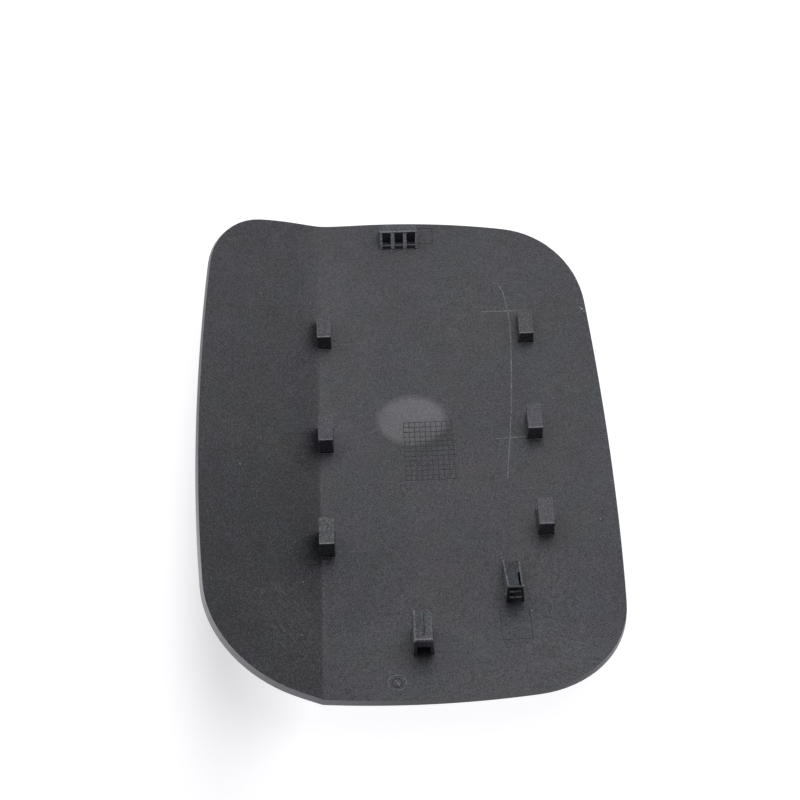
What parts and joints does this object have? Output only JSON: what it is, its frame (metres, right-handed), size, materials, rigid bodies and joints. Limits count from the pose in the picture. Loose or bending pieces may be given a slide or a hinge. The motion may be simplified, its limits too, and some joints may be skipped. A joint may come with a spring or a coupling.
{
  "type": "car fuel door",
  "caption": "One-piece moulded outer skin of a car's fuel door, crowned and creased, with block clips, a hooded hook, a snap latch and a locating box inside.",
  "frame": {"origin": "centre of the outline, on the surface that the crowned outer face lies on", "axes": "+Y up the door's height, towards the three-celled locating box; +X across the door, away from the folded flap; +Z out of the inner face"},
  "size_m": [0.1481, 0.1938, 0.0359],
  "materials": {
    "moulding": "fine spark-eroded grain"
  },
  "bodies": {
    "root": {"door_skin": "moulding"}
  },
  "joints": []
}
